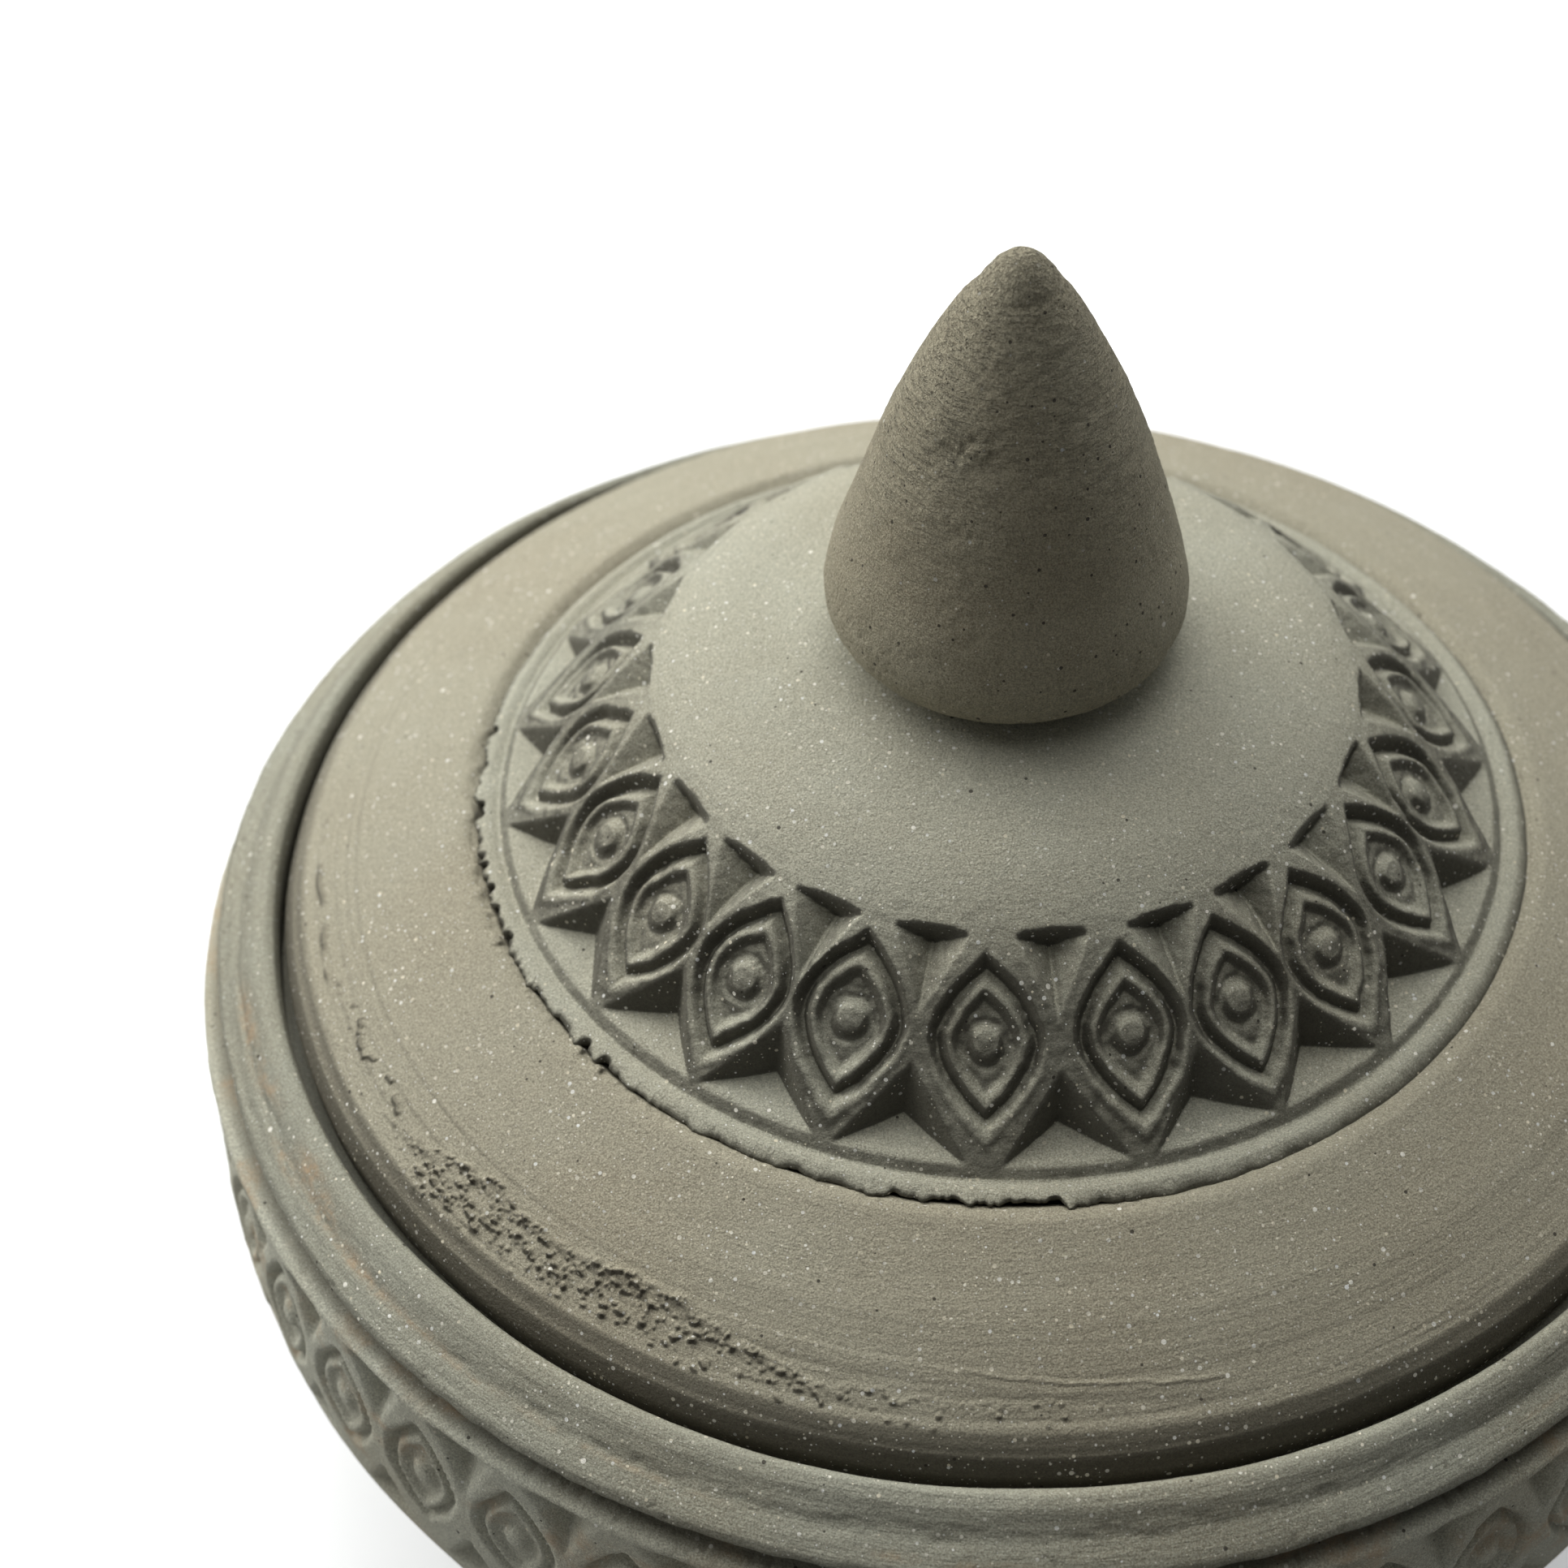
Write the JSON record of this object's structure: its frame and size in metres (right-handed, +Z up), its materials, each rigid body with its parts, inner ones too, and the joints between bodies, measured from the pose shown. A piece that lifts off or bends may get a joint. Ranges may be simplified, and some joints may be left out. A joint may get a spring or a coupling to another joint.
{
  "type": "lidded clay pot",
  "caption": "Round lidded clay pot with a carved eye-motif band on lid and belly, a recessed lid seat and a pointed knob; the lid lifts off.",
  "frame": {"origin": "centre of the pot's flat base, on the table plane", "axes": "+Z up along the pot's axis, the way the lid lifts; -Y towards the viewer, +X to the viewer's right"},
  "size_m": [0.157, 0.157, 0.1395],
  "materials": {
    "clay_body": "matt unburnished warm grey-brown clay with mica specks",
    "clay_rim": "matt grey clay, rubbed slightly smoother than the wall",
    "clay_lid": "matt unburnished warm grey-brown clay with mica specks",
    "clay_knob": "matt darker gritty clay with fine turning lines"
  },
  "bodies": {
    "pot": {"pot_bowl": "clay_body", "pot_rim_coil": "clay_rim"},
    "lid": {"lid_dome": "clay_lid", "lid_flange": "clay_lid", "lid_knob": "clay_knob"}
  },
  "joints": [
    {"name": "lid_lift", "type": "slide", "parent": "pot", "child": "lid", "axis": [0, 0, 1], "range_m": [0, 0.15]}
  ]
}
